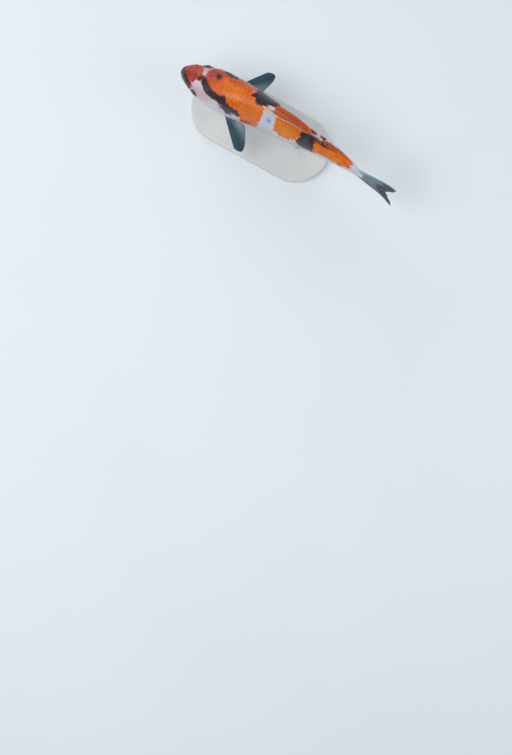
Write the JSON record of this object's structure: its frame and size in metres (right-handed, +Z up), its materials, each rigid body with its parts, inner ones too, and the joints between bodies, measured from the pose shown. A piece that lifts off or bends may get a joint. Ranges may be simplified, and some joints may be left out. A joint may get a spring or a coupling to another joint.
{
  "type": "koi carp",
  "caption": "Young koi carp at life size, body gently curved, dorsal fin folded and pectoral fins spread, on a flat stand with rods.",
  "frame": {"origin": "centre of the underside of the stand's base, on the floor", "axes": "+X runs tailwards along the body, +Z is up, and the fish's left side faces -Y"},
  "size_m": [0.2159, 0.0751, 0.0912],
  "materials": {
    "red_skin": "wet gloss",
    "dark_skin": "wet gloss",
    "white_skin": "wet gloss",
    "orange_skin": "wet gloss",
    "eye_black": "clear gloss",
    "barbel_skin": "satin",
    "fin_slate": "satin",
    "base_white": "matte",
    "rod_steel": "brushed"
  },
  "bodies": {
    "root": {"head": "red_skin", "jaw": "dark_skin", "gill_cover_left": "white_skin", "gill_cover_right": "white_skin", "trunk": "orange_skin", "tail_stalk": "orange_skin", "eye_left": "eye_black", "eye_right": "eye_black", "barbel_front_left": "barbel_skin", "barbel_front_right": "barbel_skin", "barbel_rear_left": "barbel_skin", "barbel_rear_right": "barbel_skin", "dorsal_fin": "fin_slate", "anal_fin": "fin_slate", "tail_fin_upper": "fin_slate", "tail_fin_lower": "fin_slate", "pectoral_fin_left": "fin_slate", "pectoral_fin_right": "fin_slate", "pelvic_fin_left": "fin_slate", "pelvic_fin_right": "fin_slate", "stand_base": "base_white", "stand_rod_front": "rod_steel", "stand_rod_rear": "rod_steel"}
  },
  "joints": []
}
